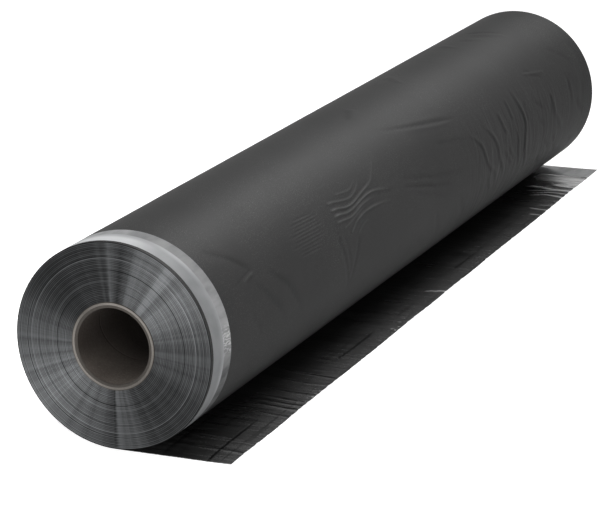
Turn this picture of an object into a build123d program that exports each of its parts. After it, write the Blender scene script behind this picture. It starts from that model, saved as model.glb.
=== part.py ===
from build123d import *
import os
from math import pi, sin

# A roll of vapour barrier film, lying on the floor with its loose end pulled out a little.
# One continuous film is wound on a cardboard core. It leaves the roll at the bottom and lies flat
# on the floor. A self-adhesive strip runs along each edge of the film: along the near edge it is
# on the film's outer face, so it shows around the roll and is under the loose end, and along the
# far edge it is on the inner face, so it shows only on top of the loose end.
#
# Millimetres. The origin is the centre of the core's bore, half way along the roll. +Y runs along
# the roll's axis to the far end, +X to the side where the film comes off, and +Z up.

# The film
FILM_WIDTH = 1200.0
FILM_THICKNESS = 0.4
ROLL_DIAMETER = 208.0

# The cardboard core, a three-inch tube
CORE_BORE_DIAMETER = 76.2
CORE_WALL = 6.0
CORE_BEVEL_ACROSS = 1.3
CORE_BEVEL_DEEP = 1.3

# The loose end, from the line under the roll's axis to its free edge. The length is that of the near
# edge. The free edge was cut by hand, a little out of square, so the far edge is shorter.
LOOSE_LENGTH = 122.0
CUT_OUT_OF_SQUARE = 9.5

# The two self-adhesive strips, pressed into the film so that they lie flush with it
STRIP_WIDTH = 40.0
STRIP_MARGIN = 5.0
STRIP_THICKNESS = 0.2

# The winding wanders sideways by a fraction of a millimetre, in bands of many turns each, and so
# the turns show on the ends as rings that stand out or lie back
BAND_COUNT = 15
BAND_WANDER = 0.45
BAND_TURN_ANGLE = 2.4

# Worked out from those
ROLL_RADIUS = ROLL_DIAMETER / 2
CORE_BORE_RADIUS = CORE_BORE_DIAMETER / 2
CORE_OUTER_RADIUS = CORE_BORE_RADIUS + CORE_WALL
CORE_LENGTH = FILM_WIDTH
NEAR_END = -FILM_WIDTH / 2
FAR_END = FILM_WIDTH / 2
FLOOR = -ROLL_RADIUS
NEAR_STRIP = (NEAR_END + STRIP_MARGIN, NEAR_END + STRIP_MARGIN + STRIP_WIDTH)
FAR_STRIP = (FAR_END - STRIP_MARGIN - STRIP_WIDTH, FAR_END - STRIP_MARGIN)


def turned(outline):
    """A solid turned about the roll's axis from an outline of (radius, place along the axis)."""
    return revolve(make_face(Polyline(*outline, close=True)), Axis.Y, 360)


def band_shift(band):
    """How far a band of turns has wandered along the axis. The last band, outside, hasn't."""
    outermost = BAND_COUNT - 1
    return BAND_WANDER * sin(BAND_TURN_ANGLE * (outermost - band))


def band_end(end):
    """One end of the winding as outline points, from the core out to the roll's surface."""
    band_height = (ROLL_RADIUS - CORE_OUTER_RADIUS) / BAND_COUNT
    points = []
    for band in range(BAND_COUNT):
        inside = CORE_OUTER_RADIUS + band * band_height
        place = end + band_shift(band)
        points += [(inside, place), (inside + band_height, place)]
    return points


def loose_sheet(along, heights):
    """A flat layer of the loose end, between two places along the axis and two heights above the
    floor, from the line under the axis out to the free edge."""

    def free_edge(place):
        return LOOSE_LENGTH - CUT_OUT_OF_SQUARE * (place - NEAR_END) / FILM_WIDTH

    near, far = along
    low, high = heights
    corners = [(0, near), (free_edge(near), near), (free_edge(far), far), (0, far)]
    layer = extrude(make_face(Polyline(*corners, close=True)), high - low)
    return Pos(0, 0, FLOOR + low) * layer


def strip_under_loose_end():
    """The stretch of the near strip that lies between the loose end and the floor."""
    return loose_sheet(NEAR_STRIP, (0, STRIP_THICKNESS))


def strip_on_loose_end():
    """The layer on top of the loose end that the far strip takes up."""
    return loose_sheet(FAR_STRIP, (FILM_THICKNESS - STRIP_THICKNESS, FILM_THICKNESS))


def wound_film():
    """The wound turns: one turned solid with its bore, its ends in bands, and the shallow seat
    of the near strip all the way round."""
    seat = ROLL_RADIUS - STRIP_THICKNESS
    near_strip_start, near_strip_end = NEAR_STRIP
    surface = [
        (ROLL_RADIUS, near_strip_start),
        (seat, near_strip_start),
        (seat, near_strip_end),
        (ROLL_RADIUS, near_strip_end),
    ]
    return turned(band_end(NEAR_END) + surface + band_end(FAR_END)[::-1])


def film_roll():
    """The whole film, wound and loose, which is one piece."""
    loose = loose_sheet((NEAR_END, FAR_END), (0, FILM_THICKNESS))
    loose = loose - strip_under_loose_end() - strip_on_loose_end()
    return wound_film() + loose


def outer_strip():
    """The near strip: under the loose end, then round the roll to the nip, where the loose end
    covers it."""
    near, far = NEAR_STRIP
    seat = ROLL_RADIUS - STRIP_THICKNESS
    ring = turned([(seat, near), (ROLL_RADIUS, near), (ROLL_RADIUS, far), (seat, far)])
    covered = loose_sheet(NEAR_STRIP, (0, FILM_THICKNESS))
    return ring - covered + strip_under_loose_end()


def inner_strip():
    """The far strip, from the free edge to the nip, where it goes in between the turns."""
    return strip_on_loose_end() - Rot(90, 0, 0) * Cylinder(ROLL_RADIUS, FILM_WIDTH)


def core_tube():
    """The cardboard tube, its inner edges pressed to a bevel."""
    end = CORE_LENGTH / 2
    bevel_radius = CORE_BORE_RADIUS + CORE_BEVEL_ACROSS
    bevel_end = end - CORE_BEVEL_DEEP
    return turned(
        [
            (CORE_BORE_RADIUS, -bevel_end),
            (bevel_radius, -end),
            (CORE_OUTER_RADIUS, -end),
            (CORE_OUTER_RADIUS, end),
            (bevel_radius, end),
            (CORE_BORE_RADIUS, bevel_end),
        ]
    )


PIECES = {
    "core_tube": core_tube,
    "film_roll": film_roll,
    "adhesive_strip_outer": outer_strip,
    "adhesive_strip_inner": inner_strip,
}

os.makedirs("parts", exist_ok=True)
for name, build in PIECES.items():
    piece = build()
    export_step(piece, f"parts/{name}.step")
    print(name, "solids", len(piece.solids()), "volume in litres", round(piece.volume / 1e6, 4))

film_area = pi * (ROLL_RADIUS**2 - CORE_OUTER_RADIUS**2)
print("wound film, metres", round(film_area / FILM_THICKNESS / 1000, 1))
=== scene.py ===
# %% [markdown]
# # A roll of vapour barrier film
#
# This lesson dresses a finished CAD model. The real object is one long dark plastic sheet, wound on a
# cardboard tube. It lies on the floor with its loose end pulled out flat, and it has a self-adhesive
# strip along each edge of the sheet. The CAD model gives every size and place. Blender adds what a
# solid can't show: creases, the edges of the turns, gloss, dust and light.
#
# The frame comes first. Every object is in metres: +Y runs along the roll from its near end, +X is the
# side where the loose end lies, and +Z is up. The middle of the core's bore is at zero.

import math

import bmesh
import bpy
import numpy as np
from mathutils import Matrix, Vector


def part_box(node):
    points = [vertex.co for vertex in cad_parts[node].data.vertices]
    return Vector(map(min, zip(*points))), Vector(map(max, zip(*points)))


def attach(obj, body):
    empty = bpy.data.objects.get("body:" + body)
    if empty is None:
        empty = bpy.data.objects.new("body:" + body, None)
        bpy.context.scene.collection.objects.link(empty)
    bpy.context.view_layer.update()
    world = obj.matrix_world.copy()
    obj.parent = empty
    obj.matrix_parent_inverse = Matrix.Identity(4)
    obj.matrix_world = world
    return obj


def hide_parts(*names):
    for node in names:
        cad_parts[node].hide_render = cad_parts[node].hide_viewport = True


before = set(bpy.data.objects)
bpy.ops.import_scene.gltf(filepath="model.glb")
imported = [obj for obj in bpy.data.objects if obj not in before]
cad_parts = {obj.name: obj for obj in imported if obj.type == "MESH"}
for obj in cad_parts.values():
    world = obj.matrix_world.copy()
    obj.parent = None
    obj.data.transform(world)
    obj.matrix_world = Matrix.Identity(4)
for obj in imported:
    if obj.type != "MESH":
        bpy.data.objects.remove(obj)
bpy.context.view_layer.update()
scene = bpy.context.scene
print("CAD nodes:", sorted(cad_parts))

# %% [markdown]
# ## Sizes
#
# The same few sizes as the CAD uses, in millimetres, because a maker measures film in millimetres.
# One helper turns them into metres at the moment a mesh is made.

# %% Sizes of the roll
MM = 0.001
ROLL_RADIUS = 104.0
FILM_THICKNESS = 0.4
FILM_WIDTH = 1200.0
NEAR_END = -FILM_WIDTH / 2
CORE_OUTER = 44.1
CORE_INNER = 38.1
LOOSE_NEAR = 122.0
LOOSE_FAR = 112.5
STRIP_THICKNESS = 0.2
STRIP_START = 5.0
STRIP_END = 45.0
FAR_STRIP_START = FILM_WIDTH - STRIP_END
FAR_STRIP_END = FILM_WIDTH - STRIP_START
film_low, film_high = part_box("film_roll")
print("film in CAD, mm:", [round(v / MM, 1) for v in (*film_low, *film_high)])

# %% [markdown]
# ## The camera
#
# A camera that was fitted to the outlines of the roll in the photograph. It stands about three metres
# off with a long lens, which is why the roll hardly tapers. The tiny roll of the camera about its own
# line of sight is what makes the far end sit as high as it does.

# %% The camera
CAMERA_PLACE = Vector((1.1621, -2.8483, 0.8174))
CAMERA_AIM = Vector((0.0247, -0.2020, -0.0212))
CAMERA_ROLL = math.radians(-0.70)
lens = bpy.data.cameras.new("photo_camera")
lens.sensor_width = 36.0
lens.lens = 166.53
lens.clip_end = 80.0
camera = bpy.data.objects.new("photo_camera", lens)
scene.collection.objects.link(camera)
sight = (CAMERA_AIM - CAMERA_PLACE).to_track_quat("-Z", "Y").to_matrix().to_4x4()
camera.matrix_world = Matrix.Translation(CAMERA_PLACE) @ sight @ Matrix.Rotation(CAMERA_ROLL, 4, "Z")
scene.camera = camera
print("camera looks along", [round(v, 4) for v in camera.matrix_world.to_3x3() @ Vector((0, 0, -1))])
print("camera's up is", [round(v, 4) for v in camera.matrix_world.to_3x3() @ Vector((0, 1, 0))])

# %% [markdown]
# ## Placing nodes
#
# A material is a small machine of nodes. A bench holds one tree of nodes and has a short word for each
# step that builds it, so that each material below reads as a short list of steps. A step takes values
# or other nodes' outputs, and gives an output.


# %% A bench for nodes
class Bench:
    """One tree of nodes, and the steps that build it."""

    def __init__(self, tree):
        self.tree = tree
        tree.nodes.clear()

    def feed(self, socket, value):
        """Gives a socket its value, or plugs another node's output into it."""
        if isinstance(value, bpy.types.NodeSocket):
            self.tree.links.new(value, socket)
        else:
            socket.default_value = value

    def put(self, kind, feeds=None, **settings):
        """Places one node. feeds gives its inputs by name or number."""
        node = self.tree.nodes.new("ShaderNode" + kind)
        for key, value in settings.items():
            setattr(node, key, value)
        for key, value in (feeds or {}).items():
            self.feed(node.inputs[key], value)
        return node

    def step(self, operation, first, second=0.0, clamp=False):
        """One sum, named by its operation."""
        return self.put("Math", {0: first, 1: second}, operation=operation, use_clamp=clamp).outputs[0]

    def times(self, first, second):
        return self.step("MULTIPLY", first, second)

    def plus(self, first, second):
        return self.step("ADD", first, second)

    def minus(self, first, second):
        return self.step("SUBTRACT", first, second)

    def remap(self, value, low, high, new_low=0.0, new_high=1.0, smooth=False):
        """Stretches a value from one range to another, and holds it inside the new one."""
        feeds = dict(enumerate((value, low, high, new_low, new_high)))
        kind = "SMOOTHSTEP" if smooth else "LINEAR"
        return self.put("MapRange", feeds, interpolation_type=kind).outputs[0]

    def blend(self, share, first, second):
        """Mixes two colours by a share from 0 to 1."""
        node = self.put("Mix", data_type="RGBA")
        for key, value in (("Factor", share), ("A", first), ("B", second)):
            self.feed([s for s in node.inputs if s.name == key and s.enabled][0], value)
        return [s for s in node.outputs if s.enabled][0]

    def tint(self, tone, colour, mask, *span, smooth=False):
        """Lays a colour over a tone where a mask is high. span says how the mask is remapped first."""
        return self.blend(self.remap(mask, *span, smooth=smooth) if span else mask, tone, colour)

    def split(self, place):
        return self.put("SeparateXYZ", {0: place}).outputs

    def join(self, x, y, z=0.0):
        return self.put("CombineXYZ", {0: x, 1: y, 2: z}).outputs[0]

    def place(self):
        """The place of each point on the object, in metres."""
        return self.put("TexCoord").outputs["Object"]

    def noise(self, place, scale, detail, **more):
        feeds = {"Vector": place, "Scale": scale, "Detail": detail, **more}
        return self.put("TexNoise", feeds).outputs["Fac"]

    def drawn_out(self, first, first_scale, second, second_scale, detail, **more):
        """Noise that is drawn out, because it is coarser in one of two directions."""
        bent = self.join(self.times(first, first_scale), self.times(second, second_scale))
        return self.noise(bent, 1.0, detail, **more)

    def bump(self, height, strength, distance, under=None):
        """A relief: its height from 0 to 1, how deep that is in metres, and the relief under it."""
        feeds = {"Strength": strength, "Distance": distance, "Height": height}
        if under is not None:
            feeds["Normal"] = under
        return self.put("Bump", feeds).outputs[0]

    def radius(self, across, up):
        """How far a point is from the roll's axis."""
        return self.put("VectorMath", {0: self.join(across, 0.0, up)}, operation="LENGTH").outputs["Value"]

    def angle(self, across, up):
        """The angle round the roll's axis, 0 on the side of the loose end."""
        return self.step("ARCTAN2", up, across)

    def turn_share(self, across, up):
        """The same angle as a share of a whole turn, from 0 up to 1."""
        return self.step("FRACT", self.step("DIVIDE", self.angle(across, up), 2 * math.pi))

    def levels(self, share, levels, whole=360):
        """A value given as levels at places, from 0 up to the whole, that changes evenly between them."""
        ramp = self.put("ValToRGB", {0: share})
        stops = ramp.color_ramp.elements
        while len(stops) < len(levels):
            stops.new(0.5)
        for stop, (place, level) in zip(stops, levels):
            stop.position = place / whole
            stop.color = grey(level)
        return ramp.outputs[0]

    def use(self, group, **values):
        """Places a group with its own values."""
        return self.put("Group", values, node_tree=group.tree).outputs


class Paint(Bench):
    """A material that is being made, with its shader."""

    def __init__(self, name):
        self.material = bpy.data.materials.new(name)
        self.material.use_nodes = True
        super().__init__(self.material.node_tree)
        self.shader = self.put("BsdfPrincipled")
        self.put("OutputMaterial", {"Surface": self.shader.outputs[0]})

    def finish(self, feeds):
        """Feeds the shader, and gives the material."""
        for key, value in feeds.items():
            self.feed(self.shader.inputs[key], value)
        print("material made:", self.material.name)
        return self.material


def grey(level, warm=0.0):
    """A grey in linear light, a little warmer or cooler."""
    return (level * (1 + warm), level, level * (1 - warm), 1.0)


def seen_share(bench):
    """1 for what the camera sees, itself or by reflection or transmission, and 0 for plain lighting."""
    rays = bench.put("LightPath").outputs
    seen = bench.step("MAXIMUM", rays["Is Camera Ray"], rays["Is Glossy Ray"])
    return bench.step("MAXIMUM", seen, rays["Is Transmission Ray"])


print("bench ready")

# %% [markdown]
# ## Stage and light
#
# The photograph was taken on white with broad soft light. The floor is a pale plane. Seen by the
# camera and in reflections it is topped up to white, but it still receives the roll's soft shadow.
# For plain lighting it glows a little, like the wide lit floor of a studio, and that lightens the
# roll's lower side. The world does the same: white where it is seen, and dimmer where it only lights,
# so the dark film isn't washed out. Everything but the camera also sees a darker ceiling.

# %% The floor
FLOOR_SIZE = 30.0
FLOOR_COLOUR = 0.52
FLOOR_TOP_UP = 0.86
FLOOR_GLOW = 0.26
FLOOR_GAP = 0.00005
half = FLOOR_SIZE / 2
floor_corners = [(-half, -half, 0), (half, -half, 0), (half, half, 0), (-half, half, 0)]
floor_mesh = bpy.data.meshes.new("studio_floor")
floor_mesh.from_pydata(floor_corners, [], [(0, 1, 2, 3)])
floor = bpy.data.objects.new("studio_floor", floor_mesh)
floor.location.z = -ROLL_RADIUS * MM - FLOOR_GAP
scene.collection.objects.link(floor)
paint = Paint("studio_floor_white")
floor_mesh.materials.append(paint.finish({
    "Base Color": grey(FLOOR_COLOUR),
    "Roughness": 0.9,
    "Specular IOR Level": 0.0,
    "Emission Color": grey(1.0),
    "Emission Strength": paint.remap(seen_share(paint), 0.0, 1.0, FLOOR_GLOW, FLOOR_TOP_UP),
}))
print("floor at z", round(floor.location.z, 5))

# %% The world
WORLD_SEEN = 1.0
WORLD_LIGHT = 0.175
CEILING_LEVEL = 0.40
CEILING_FROM = 0.12
CEILING_FULL = 0.35
scene.world = bpy.data.worlds.new("white_room")
scene.world.use_nodes = True
room = Bench(scene.world.node_tree)
strength = room.remap(seen_share(room), 0.0, 1.0, WORLD_LIGHT, WORLD_SEEN)
height = room.split(room.put("TexCoord").outputs["Generated"])["Z"]
not_direct = room.minus(1.0, room.put("LightPath").outputs["Is Camera Ray"])
ceiling = room.times(room.remap(height, CEILING_FROM, CEILING_FULL, smooth=True), not_direct)
colour = room.blend(ceiling, grey(1.0), grey(CEILING_LEVEL))
background = room.put("Background", {"Color": colour, "Strength": strength})
room.put("OutputWorld", {"Surface": background.outputs[0]})
scene.view_settings.view_transform = "Standard"
print("world set: seen at", WORLD_SEEN, "and lighting at", WORLD_LIGHT)

# %% [markdown]
# The broad lamp behind the far end rakes along the roll and makes the long highlight near its top. The
# lamp in front lights the near end, and its edges of film throw the light out in a bright wedge. The
# others are weaker: one from above, one onto the back that the photograph doesn't show, one from the
# side close to the floor, and one onto the floor beside the loose end, which keeps it white there.


# %% The lamps
def soft_box(name, place, aim, width, height, watts, spread=180.0):
    """A flat lamp of this size that shines from place towards aim, with its spread in degrees."""
    lamp = bpy.data.lights.new(name, "AREA")
    lamp.shape = "RECTANGLE"
    lamp.size = width
    lamp.size_y = height
    lamp.energy = watts
    lamp.spread = math.radians(spread)
    box = bpy.data.objects.new(name, lamp)
    scene.collection.objects.link(box)
    towards = (Vector(aim) - Vector(place)).to_track_quat("-Z", "Y").to_matrix().to_4x4()
    box.matrix_world = Matrix.Translation(Vector(place)) @ towards
    box.visible_camera = False


soft_box("back_soft_box", (1.1, 7.0, 6.0), (0.5, -6.0, 0.0), 4.6, 2.6, 206.0, spread=54.0)
soft_box("overhead_soft_box", (0.12, -0.15, 1.5), (0.0, -0.15, 0.0), 0.9, 0.9, 10.0)
soft_box("rear_soft_box", (-2.4, 0.2, 0.7), (0.0, 0.0, -0.04), 2.4, 0.8, 14.0)
soft_box("side_soft_box", (1.9, 0.0, -0.02), (0.0, -0.1, -0.08), 2.2, 0.15, 2.8)
soft_box("floor_soft_box", (0.85, 0.0, 1.1), (0.85, 0.0, 0.0), 0.4, 1.6, 16.0, spread=30.0)
soft_box("front_soft_box", (0.12, -2.5, 0.22), (0.0, -0.6, 0.0), 1.3, 0.4, 42.0)

# %% [markdown]
# ## Meshes from rows of points
#
# Film is easiest to make as a grid: lines along the roll, crossed by lines around it. The lines stand
# closer together where the sheet is crumpled, so the creases are real shape and the smooth parts stay
# light. These helpers space the lines, keep the faces of a grid, and make the Blender object.


# %% Helpers for meshes
def spaced(start, *stretches):
    """Places from start on. Each stretch gives where it ends and the step to use in it."""
    places = [start]
    for end, step in stretches:
        count = max(1, round((end - places[-1]) / step))
        places += list(np.linspace(places[-1], end, count + 1)[1:])
    return np.array(places)


def grid_faces(numbers, closed=False):
    """Four-sided faces between the rows of a table of point numbers."""
    table = np.concatenate([numbers, numbers[:, :1]], 1) if closed else numbers
    a, b, c, d = table[:-1, :-1], table[:-1, 1:], table[1:, 1:], table[1:, :-1]
    return np.stack([a, d, c, b], -1).reshape(-1, 4).tolist()


def build(name, points, faces, materials, kinds=None, smooth_under=40.0):
    """Makes the object, with points in millimetres, and shades it smooth except over sharp edges."""
    mesh = bpy.data.meshes.new(name)
    mesh.from_pydata((np.asarray(points) * MM).tolist(), [], faces)
    for material in materials:
        mesh.materials.append(material)
    if kinds is not None:
        mesh.polygons.foreach_set("material_index", np.asarray(kinds, np.int32))
    check = bmesh.new()
    check.from_mesh(mesh)
    bmesh.ops.recalc_face_normals(check, faces=check.faces)
    open_edges = sum(not edge.is_manifold for edge in check.edges)
    check.to_mesh(mesh)
    check.free()
    mesh.update()
    mesh.shade_smooth()
    mesh.set_sharp_from_angle(angle=math.radians(smooth_under))
    piece = bpy.data.objects.new(name, mesh)
    scene.collection.objects.link(piece)
    triangles = sum(len(face) - 2 for face in faces)
    print(f"{name}: {len(mesh.vertices)} points, {triangles} triangles, {open_edges} open edges")
    return piece


# %% [markdown]
# ## Creases
#
# A crease in film is a long narrow ridge that fades out at both ends. On the flat sheet it is a line of a
# few points, a height and a width. Each point of the mesh gets the height that it has by its distance from
# that line. The places below are given in millimetres from the near edge and in degrees round the roll,
# where 0 is the side of the loose end and 90 is the top. Each row of a list gives the points of a crease,
# its height and its width. At three times its width from its line a crease is gone.

# %% One crease
GONE_AT = 3.0
FAR_AWAY = 1e9


def bend_line(points, rounds=3):
    """Cuts the corners of a line of points, so that a crease bends and doesn't kink."""
    line = np.array(points, float)
    for _ in range(rounds):
        before = line[:-1] * 0.75 + line[1:] * 0.25
        after = line[:-1] * 0.25 + line[1:] * 0.75
        line = np.vstack([line[:1], np.stack([before, after], 1).reshape(-1, 2), line[-1:]])
    return line


def crease(sheet, points, height, width, starts=0.3, ends=0.3):
    """Height in millimetres of one crease at each point of the flat sheet."""
    line = bend_line(points)
    reach = GONE_AT * width
    low, high = line.min(0) - reach, line.max(0) + reach
    near = np.flatnonzero(((sheet > low) & (sheet < high)).all(1))
    raised = np.zeros(len(sheet))
    if not len(near):
        return raised
    spots = sheet[near]
    gap = np.full(len(near), FAR_AWAY)
    share = np.zeros(len(near))
    for i, (a, b) in enumerate(zip(line[:-1], line[1:])):
        run = b - a
        part = np.clip(((spots - a) @ run) / max(run @ run, 1e-9), 0, 1)
        away = np.hypot(*(spots - a - part[:, None] * run).T)
        share = np.where(away < gap, (i + part) / (len(line) - 1), share)
        gap = np.minimum(gap, away)
    fade = np.clip(share / starts, 0, 1) * np.clip((1 - share) / ends, 0, 1)
    fade = fade * fade * (3 - 2 * fade)
    raised[near] = height * fade * np.exp(-((gap / width) ** 2))
    return raised


def arc(degrees):
    """Millimetres round the roll's surface for an angle in degrees."""
    return np.radians(degrees) * ROLL_RADIUS


def round_crease(points, height, width, **fades):
    """A crease on the roll: its points give millimetres along and degrees round."""
    return [(along, arc(degrees)) for along, degrees in points], height, width, fades


print("crease helpers ready")

# %% [markdown]
# ## Where the film is creased
#
# The strongest crumple is a bundle of ridges a third of the way along, where the outer turn has
# slipped and bunched. Beside each ridge of it the sheet dips.

# %% The bundle of ridges
DIP = -0.42
bundle = [
    ([(340, 48.6), (350, 48.3), (358, 47.8), (372, 46.6)], 0.14, 1.5),
    ([(366, 39.8), (380, 38.8), (396, 37.6), (404, 38.3), (414, 40.2), (424, 42.2)], 0.24, 1.3),
    ([(337, 37.6), (352, 36.8), (366, 35.2), (386, 33.5), (400, 34.1), (414, 36.3), (424, 39.1),
      (432, 41.2)], 0.40, 1.4),
    ([(336, 33), (350, 32.4), (360, 31.6), (372, 30), (386, 29.9), (404, 31.1), (424, 33.2), (444, 34.4),
      (456, 36.3), (476, 41.8), (500, 51)], 0.54, 1.4),
    ([(336, 29.1), (350, 28.9), (360, 27.7), (372, 26.9), (388, 27.4), (408, 28.9), (428, 30.1), (444, 30.1),
      (460, 28.8), (476, 26.9), (494, 24.5)], 0.56, 1.35),
    ([(336, 25.3), (350, 24.9), (364, 23.8), (374, 23.8), (390, 24.9), (408, 26.4), (428, 27), (444, 26.5)],
     0.52, 1.3),
    ([(348, 20), (364, 21.2), (380, 22.3), (396, 23.7), (412, 24.6)], 0.36, 1.25),
    ([(362, 15.6), (372, 18), (382, 20.1), (396, 21.2), (410, 21.9), (428, 22.1), (444, 21.5), (464, 20.5),
      (494, 17.7)], 0.54, 1.4),
    ([(379, 13), (390, 15.3), (400, 16.7), (410, 16.9)], 0.26, 1.4),
]
round_creases = [round_crease(*row, starts=0.09, ends=0.40) for row in bundle]
round_creases += [round_crease(points, DIP * height, 2.1 * width, starts=0.2, ends=0.5)
                  for points, height, width in bundle]
print("creases in the bundle:", len(round_creases))

# %% [markdown]
# Nearer the near end lies a patch of fine ribs, one above the other, where the turn has slackened.
# Each rib is a ridge with a groove beside it, and the ribs are longest at the middle of the patch.

# %% The patch of ribs
RIBS = 11
RIB_ALONG, RIB_DEGREES = 274, 38.3
RIB_LENGTH = 44
RIB_SHIFT = 1.6
RIB_SPACING = 1.95
RIB_TILT = 0.8
for rib in range(RIBS):
    across = (rib - (RIBS - 1) / 2) / (RIBS / 2 + 0.5)
    reach = RIB_LENGTH * math.sqrt(1 - across * across) * (0.85 + 0.20 * math.sin(2.1 * rib))
    centre = RIB_ALONG - RIB_SHIFT * rib
    middle = RIB_DEGREES - RIB_SPACING * rib
    for turn, height in ((0.0, 0.13), (0.98, -0.15)):
        level = middle + turn
        line = [(centre - reach, level + RIB_TILT), (centre, level), (centre + reach, level - RIB_TILT)]
        round_creases.append(round_crease(line, height, 0.9))
print("creases with the ribs:", len(round_creases))

# %% [markdown]
# Smaller wrinkles run slantwise over the rest of the roll. Some are ridges that stand up and others
# are grooves, with two long grooves near the middle of the roll.

# %% Slanting ridges and grooves
slanting = [
    ([(98, 26), (112, 27.4), (127, 28.6)], 0.20, 1.3),
    ([(436, 35), (462, 38), (480, 42), (500, 51)], 0.14, 3.0),
    ([(440, 30), (475, 27.5), (505, 25.5)], 0.12, 2.2),
    ([(600, 56.8), (625, 54), (650, 51.5), (690, 48), (725, 45)], 0.16, 2.4),
    ([(600, 51.5), (640, 46.5), (665, 43.8), (690, 41.4), (720, 39.4)], 0.16, 2.4),
    ([(530, 23), (560, 19.5), (590, 15.8), (620, 12)], 0.14, 2.4),
    ([(530, 18.6), (560, 14.8), (600, 9)], 0.12, 2.4),
    ([(555, 80), (580, 84), (592, 87)], 0.22, 3.6),
    ([(985, 41), (1000, 39.2), (1030, 36.4), (1048, 35)], 0.24, 2.0),
    ([(995, 89), (1015, 81)], 0.20, 4.0),
    ([(1028, 92), (1040, 84), (1050, 78), (1060, 73.5)], 0.30, 4.0),
    ([(1047, 18), (1043, 8), (1050, 2), (1062, -4), (1078, -11)], 0.24, 4.0),
    ([(1006, -15), (1022, -21)], 0.22, 3.4),
]
round_creases += [round_crease(*row) for row in slanting]

valleys = [
    ([(66, 53), (80, 48), (92, 44), (108, 37), (124, 30)], 0.22, 3.4),
    ([(82, 27.3), (100, 28.6), (124, 30.2)], 0.16, 1.4),
    ([(104, 24.8), (122, 26.6)], 0.14, 1.2),
    ([(150, 26), (165, 20), (180, 15.5), (192, 10), (206, 0), (224, -9)], 0.22, 3.6),
    ([(114, 23), (135, 16), (148, 9), (160, 4), (172, -3), (184, -9)], 0.17, 3.8),
    ([(99, 10), (108, 1), (120, -5)], 0.12, 3.6),
    ([(326, 25), (330, 14), (337, 2), (344, -8), (349, -16)], 0.24, 2.0),
    ([(343, 18), (346, 8), (349, 0), (351, -8)], 0.18, 1.8),
    ([(380, 12), (370, 4), (360, -4), (352, -14)], 0.22, 2.0),
    ([(443, 27.4), (470, 25.5), (492, 24)], 0.10, 1.8),
    ([(534, 63.5), (560, 60), (580, 57), (600, 54.2), (620, 51.6), (645, 49), (675, 46.4),
      (700, 43.9), (720, 42), (745, 40)], 0.25, 1.7),
    ([(520, 21.6), (550, 18), (580, 14.4), (600, 11.6), (640, 7.5), (664, 4)], 0.26, 1.8),
    ([(516, 28.6), (540, 24.6), (560, 22), (580, 20), (605, 16.6)], 0.14, 2.6),
    ([(580, 19), (620, 15.6), (700, 8)], 0.10, 3.2),
    ([(540, 15), (570, 10), (600, 6), (645, -2)], 0.10, 2.8),
    ([(542, 78.5), (570, 83.6), (584, 87)], 0.18, 3.6),
    ([(650, 33), (690, 29.5), (735, 25)], 0.10, 3.0),
    ([(990, 42.4), (1008, 40.4)], 0.14, 1.8),
    ([(998, 38.3), (1020, 35), (1034, 31.8)], 0.14, 2.0),
    ([(1038, 99), (1045, 90), (1052, 85), (1064, 78)], 0.30, 3.8),
    ([(1012, 92), (1025, 85), (1038, 80)], 0.20, 3.8),
    ([(984, 93), (1000, 86)], 0.18, 3.8),
    ([(1037, 19), (1033, 12), (1026, 5)], 0.20, 3.8),
    ([(976, 20), (990, 17), (1002, 12)], 0.20, 3.8),
    ([(980, 7), (998, 1)], 0.16, 3.4),
    ([(1120, 26), (1112, 18), (1104, 13)], 0.18, 4.0),
    ([(1128, 4), (1145, -4), (1164, -9)], 0.22, 4.0),
    ([(1098, 49), (1116, 44), (1130, 38), (1150, 31)], 0.14, 4.0),
    ([(998, -9), (1014, -15), (1028, -19)], 0.20, 3.0),
    ([(1036, -11), (1052, -18)], 0.20, 3.2),
    ([(1048, -19), (1072, -27)], 0.22, 3.0),
    ([(983, -21), (1012, -29)], 0.22, 2.6),
    ([(1120, -23), (1148, -30)], 0.22, 2.6),
    ([(1156, -20), (1188, -29)], 0.22, 2.6),
    ([(556, -17), (580, -24), (604, -31)], 0.14, 3.0),
    ([(610, -8), (620, -16), (636, -26)], 0.16, 3.2),
    ([(688, -8), (702, -15), (718, -25)], 0.16, 3.4),
    ([(1170, 12), (1176, 30), (1172, 48)], 0.14, 4.4),
    ([(1150, -2), (1160, 16), (1158, 30)], 0.12, 4.4),
]
round_creases += [round_crease(points, -depth, width) for points, depth, width in valleys]
print("creases with the slanting ones:", len(round_creases))

# %% [markdown]
# Across the far half of the roll the sheet has shallow folds that run round it. A fold there is a
# dip with a ridge on its far side, which catches the light from behind. Three more ridges stand
# near the top and low on the side.

# %% Folds that run round the roll
crosswise = [
    ([(736, 26.8), (752, 22.4), (764, 18), (772, 13.6), (775, 8.1), (780, 2.6), (790, -2.9), (804, -6.2),
      (814, -9.5), (818, -16.2), (824, -22)], 0.46, 3.4),
    ([(788, 26.8), (800, 22.4), (812, 15.8), (818, 11.4), (822, 5.9), (823, 0.4), (830, -4), (839, -8.4),
      (841, -15), (848, -20)], 0.46, 3.4),
    ([(849, 29), (850, 21.3), (854, 14.7), (861, 12)], 0.40, 3.6),
    ([(787, -8), (796, -16.2), (801, -19)], 0.36, 3.0),
    ([(843, 2), (856, -2.9), (866, -7.3), (877, -10.6)], 0.36, 2.6),
    ([(859, 3), (870, -2.9), (881, -7.8)], 0.32, 2.6),
    ([(886, 34), (886, 24.6), (890, 17.5)], 0.30, 3.4),
    ([(897, 12), (895, 1.5), (894, -2.9), (899, -9.5), (903, -17)], 0.50, 3.4),
    ([(915, 39), (920, 28), (924, 21.3), (927, 13.6), (926, 8.1), (922, 3.7), (920, -2.9), (922, -9.5),
      (930, -16.2), (936, -23)], 0.60, 3.5),
    ([(942, 26), (938, 19), (941, 10)], 0.24, 3.4),
    ([(1035, 20), (1037, 10), (1036, 3)], 0.22, 3.6),
    ([(1110, 27), (1113, 15), (1112, 3)], 0.24, 3.6),
]
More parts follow.
